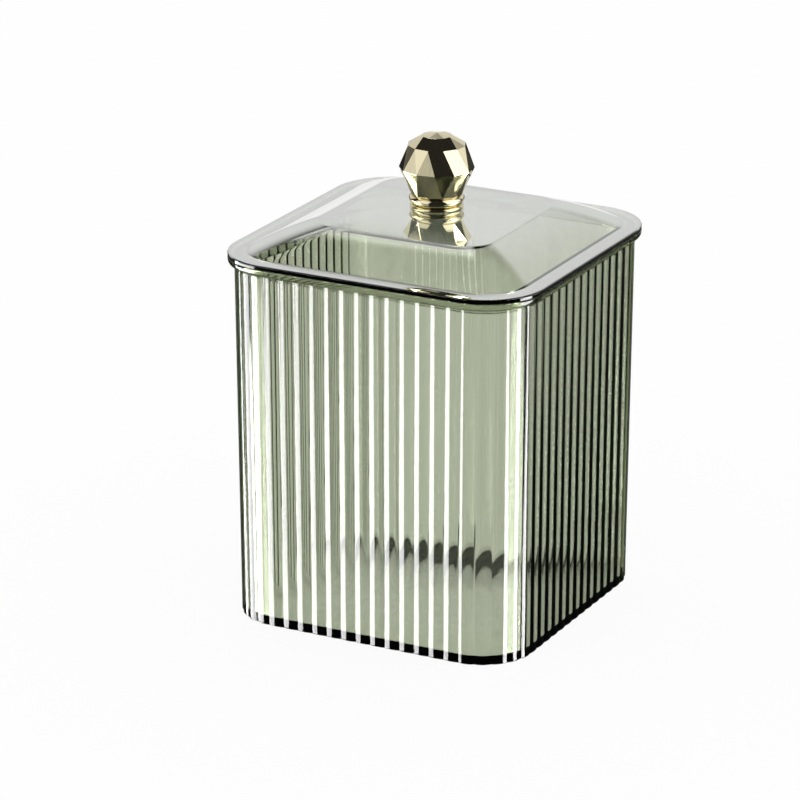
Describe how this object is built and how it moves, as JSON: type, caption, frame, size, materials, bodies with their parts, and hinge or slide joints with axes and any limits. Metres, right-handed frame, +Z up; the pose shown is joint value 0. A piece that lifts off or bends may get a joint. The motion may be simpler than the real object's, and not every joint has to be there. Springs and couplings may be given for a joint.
{
  "type": "cotton swab holder",
  "caption": "Square reeded clear plastic jar with rounded corners and a domed lift-off lid that carries a plated, faceted ball knob.",
  "frame": {"origin": "middle of the jar's underside, on the surface it stands on", "axes": "+Z up through the knob, the jar's flat sides face along X and Y"},
  "size_m": [0.08, 0.08, 0.1152],
  "materials": {
    "jar_plastic": "clear smoke green, glossy",
    "lid_plastic": "clear smoke green, glossy",
    "plating": "pale champagne plating, mirror bright",
    "screw_steel": "zinc plated"
  },
  "bodies": {
    "jar": {"jar": "jar_plastic"},
    "lid": {"lid": "lid_plastic", "knob": "plating", "knob_screw": "screw_steel"}
  },
  "joints": [
    {"name": "lid_lift", "type": "slide", "parent": "jar", "child": "lid", "axis": [0, 0, 1], "range_m": [0, 0.12]}
  ]
}
